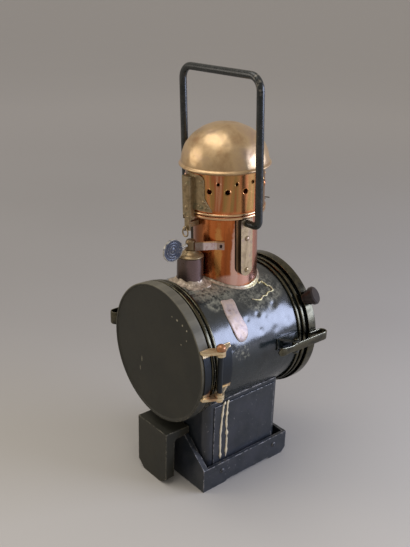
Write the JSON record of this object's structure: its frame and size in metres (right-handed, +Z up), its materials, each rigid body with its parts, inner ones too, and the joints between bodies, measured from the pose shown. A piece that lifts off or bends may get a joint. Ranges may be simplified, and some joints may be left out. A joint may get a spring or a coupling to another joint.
{
  "type": "railway oil lamp",
  "caption": "Free-standing sheet-metal oil lamp: a drum with a lens door and a blank door on a square oil well and iron base, copper chimney, hinged domed hood and carrying bail.",
  "frame": {"origin": "on the ground under the middle of the lamp", "axes": "+Z up, +Y out of the lens door along the drum axis, -Y out of the blank door and the lamp iron socket"},
  "size_m": [0.212, 0.2094, 0.5235],
  "materials": {
    "slate_paint": "semi-matte slate paint, worn edges",
    "olive_paint": "matte dark olive paint",
    "drum_paint": "glossy green-black paint, dented",
    "aged_iron": "aged brown iron",
    "hinge_brass": "dull brass with solder",
    "pale_copper": "pinkish soldered copper",
    "copper": "polished copper",
    "dome_bronze": "satin hammered bronze",
    "dark_bronze": "dark worn bronze",
    "bracket_brass": "pale brass-grey, dark folds",
    "black_iron": "black enamelled iron bar, worn",
    "spindle_brown": "dark brown with a lilac sheen",
    "disc_slate": "slate-blue steel, worn edge",
    "spring_steel": "pale polished spring steel",
    "pull_brown": "dark red-brown",
    "reflector_tin": "silvered reflector",
    "flue_black": "sooted iron",
    "font_tin": "tinned sheet",
    "clear_glass": "clear glass",
    "red_glass": "red glass",
    "wick_cotton": "woven cotton"
  },
  "bodies": {
    "lamp": {"base_frame": "slate_paint", "base_floor": "slate_paint", "base_rivet_front_right": "slate_paint", "base_rivet_front_left": "slate_paint", "base_rivet_rear_right": "slate_paint", "base_rivet_rear_left": "slate_paint", "lamp_iron_socket": "olive_paint", "well_housing": "slate_paint", "well_side_panel": "slate_paint", "drum_shell": "drum_paint", "front_stop_ring": "aged_iron", "front_bead_ring": "aged_iron", "rear_stop_ring": "aged_iron", "rear_bead_ring": "aged_iron", "repair_patch": "pale_copper", "front_hinge_drum_leaf": "hinge_brass", "front_hinge_pin": "hinge_brass", "front_latch_bracket": "drum_paint", "front_latch_pin": "aged_iron", "lens_hinge_drum_leaf": "hinge_brass", "lens_hinge_pin": "hinge_brass", "lens_latch_bracket": "drum_paint", "lens_latch_pin": "aged_iron", "chimney_tube": "copper", "chimney_collar": "copper", "inner_flue": "flue_black", "hood_hinge_lower_leaf": "dome_bronze", "hood_hinge_pin": "aged_iron", "hood_keeper": "dark_bronze", "bail_bracket_right": "bracket_brass", "bail_bracket_left": "bracket_brass", "spindle_tube": "spindle_brown", "spindle_gland": "hinge_brass", "catch_spring": "spring_steel", "oil_font": "font_tin", "burner": "hinge_brass", "lamp_glass": "clear_glass"},
    "front_door": {"front_door_pan": "olive_paint", "front_hinge_door_leaf": "hinge_brass", "reflector": "reflector_tin"},
    "front_latch": {"front_latch": "aged_iron"},
    "lens_door": {"lens_bezel": "aged_iron", "lens_hinge_door_leaf": "hinge_brass", "lens_glass": "clear_glass", "lens_retainer": "hinge_brass", "lens_door_pull": "pull_brown"},
    "lens_latch": {"lens_latch": "aged_iron"},
    "hood": {"hood_gallery": "copper", "hood_dome": "dome_bronze", "hood_hinge_upper_leaf": "dome_bronze", "hood_latch_strap": "dark_bronze"},
    "hood_tongue": {"hood_tongue": "dark_bronze", "tongue_ring": "hinge_brass"},
    "bail": {"bail": "black_iron"},
    "shade": {"shade_spindle": "dome_bronze", "thumb_disc": "disc_slate", "shade_frame": "hinge_brass", "shade_glass": "red_glass"},
    "winder": {"wick_winder": "hinge_brass"},
    "wick": {"wick": "wick_cotton"}
  },
  "joints": [
    {"name": "front_door_hinge", "type": "hinge", "parent": "lamp", "child": "front_door", "pos_m": [0.095, -0.0752, 0.185], "axis": [0, 0, 1], "range_deg": [0, 130]},
    {"name": "front_latch_pivot", "type": "hinge", "parent": "lamp", "child": "front_latch", "pos_m": [-0.101, -0.049, 0.193], "axis": [0, 0, -1], "range_deg": [0, 18]},
    {"name": "lens_door_hinge", "type": "hinge", "parent": "lamp", "child": "lens_door", "pos_m": [-0.0975, 0.0727, 0.185], "axis": [0, 0, 1], "range_deg": [0, 130]},
    {"name": "lens_latch_pivot", "type": "hinge", "parent": "lamp", "child": "lens_latch", "pos_m": [0.101, 0.0465, 0.188], "axis": [0, 0, -1], "range_deg": [0, 18]},
    {"name": "hood_hinge", "type": "hinge", "parent": "lamp", "child": "hood", "pos_m": [0, 0.06424, 0.35928], "axis": [-1, 0, 0], "range_deg": [0, 95]},
    {"name": "hood_tongue_pivot", "type": "hinge", "parent": "hood", "child": "hood_tongue", "pos_m": [0, -0.04687, 0.34895], "axis": [-1, 0, 0], "range_deg": [0, 75]},
    {"name": "bail_pivot", "type": "hinge", "parent": "lamp", "child": "bail", "pos_m": [0, 0.0014, 0.34497], "axis": [1, 0, 0], "range_deg": [-115, 115]},
    {"name": "shade_turn", "type": "hinge", "parent": "lamp", "child": "shade", "pos_m": [0, -0.04577, 0.3075], "axis": [0, 0, -1], "range_deg": [0, 90]},
    {"name": "wick_winder_turn", "type": "hinge", "parent": "lamp", "child": "winder", "pos_m": [0, 0.0135, 0.128], "axis": [0, 1, 0], "range_deg": [0, 270]},
    {"name": "wick_lift", "type": "slide", "parent": "lamp", "child": "wick", "axis": [0, 0, 1], "range_m": [0, 0.01]}
  ],
  "couplings": [
    {"joint": "wick_lift", "follows": "wick_winder_turn", "m_per_rad": 0.002122}
  ]
}
